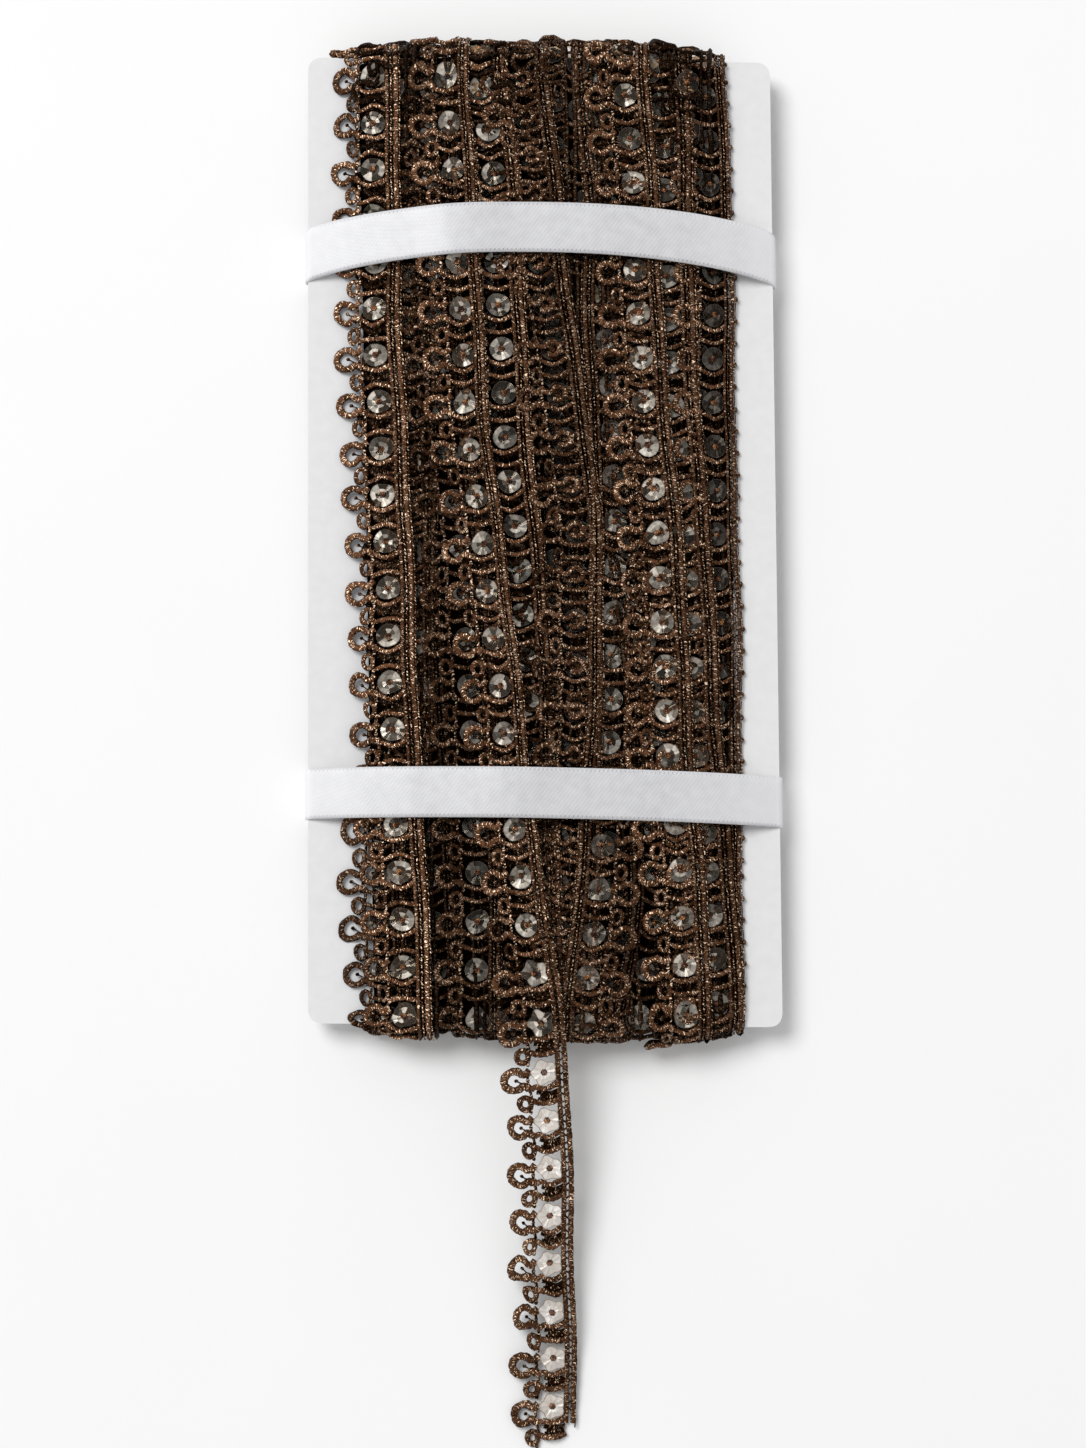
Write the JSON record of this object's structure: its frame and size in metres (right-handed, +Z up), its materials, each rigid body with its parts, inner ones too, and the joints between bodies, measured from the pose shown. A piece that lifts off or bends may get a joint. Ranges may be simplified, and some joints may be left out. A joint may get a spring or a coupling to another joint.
{
  "type": "sequin trim wound on a card",
  "caption": "Brown looped braid trim with clear sequins, wound lengthwise on a flat white card and held by satin bands, one end loose.",
  "frame": {"origin": "on the surface that the pack lies on, under the middle of the card, at the flat underside of the wound turns", "axes": "+Z up out of the surface, +Y along the card towards its upper end and away from the loose end, +X across the card to the right"},
  "size_m": [0.097, 0.2794, 0.0161],
  "materials": {
    "card": "matte white card",
    "cord": "dark brown viscose gimp cord with a soft sheen",
    "satin": "white satin ribbon",
    "sequin": "clear glossy film"
  },
  "bodies": {
    "root": {"card": "card", "winding": "cord", "loose_end": "cord", "band_upper": "satin", "band_lower": "satin", "sequin_slanting_1": "sequin", "sequin_slanting_2": "sequin", "sequin_slanting_3": "sequin", "sequin_slanting_4": "sequin", "sequin_slanting_5": "sequin", "sequin_slanting_6": "sequin", "sequin_slanting_7": "sequin", "sequin_slanting_8": "sequin", "sequin_slanting_9": "sequin", "sequin_slanting_10": "sequin", "sequin_slanting_11": "sequin", "sequin_slanting_12": "sequin", "sequin_slanting_13": "sequin", "sequin_slanting_14": "sequin", "sequin_slanting_15": "sequin", "sequin_right_1": "sequin", "sequin_right_2": "sequin", "sequin_right_3": "sequin", "sequin_right_4": "sequin", "sequin_right_5": "sequin", "sequin_right_6": "sequin", "sequin_right_7": "sequin", "sequin_right_8": "sequin", "sequin_right_9": "sequin", "sequin_right_10": "sequin", "sequin_right_11": "sequin", "sequin_right_12": "sequin", "sequin_right_13": "sequin", "sequin_right_14": "sequin", "sequin_right_15": "sequin", "sequin_right_16": "sequin", "sequin_right_17": "sequin", "sequin_right_18": "sequin", "sequin_right_19": "sequin", "sequin_loose_1": "sequin", "sequin_loose_2": "sequin", "sequin_loose_3": "sequin", "sequin_loose_4": "sequin", "sequin_loose_5": "sequin", "sequin_loose_6": "sequin", "sequin_loose_7": "sequin", "sequin_loose_8": "sequin", "sequin_loose_9": "sequin", "sequin_loose_10": "sequin"}
  },
  "joints": []
}
